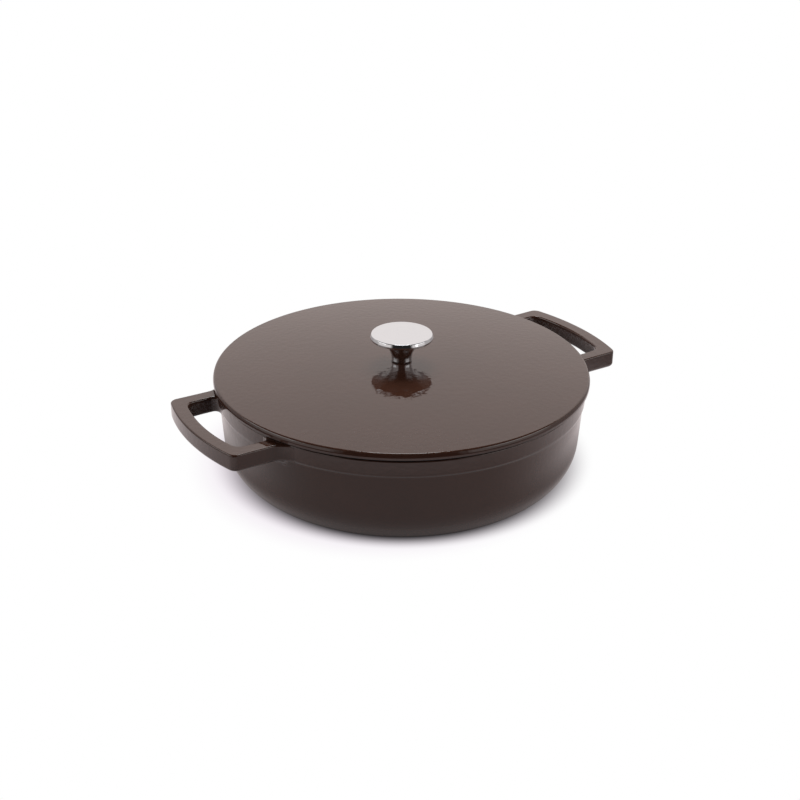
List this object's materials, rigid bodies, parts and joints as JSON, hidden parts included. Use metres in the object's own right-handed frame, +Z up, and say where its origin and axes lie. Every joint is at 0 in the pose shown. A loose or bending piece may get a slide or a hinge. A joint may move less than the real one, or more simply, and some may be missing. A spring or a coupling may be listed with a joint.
{
  "type": "braiser",
  "caption": "Low, wide round enamelled cast-iron braiser with a loop handle cast on each side and a shallow domed lid that lifts off by a flared steel knob.",
  "frame": {"origin": "centre of the pot's flat base, on the surface that it stands on", "axes": "+Z up along the pot's axis, +X from the pot's axis towards one handle, +Y to the side that has no handle"},
  "size_m": [0.371, 0.3, 0.1154],
  "materials": {
    "enamelled_iron": "glossy dark brown enamel, satin black inside",
    "polished_steel": "mirror-polished stainless steel",
    "plain_steel": "plain bright steel",
    "black_rubber": "matt black"
  },
  "bodies": {
    "pot": {"pot": "enamelled_iron"},
    "lid": {"lid": "enamelled_iron", "knob": "polished_steel", "seat_washer": "black_rubber", "flat_washer": "plain_steel", "lock_washer": "plain_steel", "knob_screw": "plain_steel"}
  },
  "joints": [
    {"name": "lid_lift", "type": "slide", "parent": "pot", "child": "lid", "axis": [0, 0, 1], "range_m": [0, 0.12]}
  ]
}
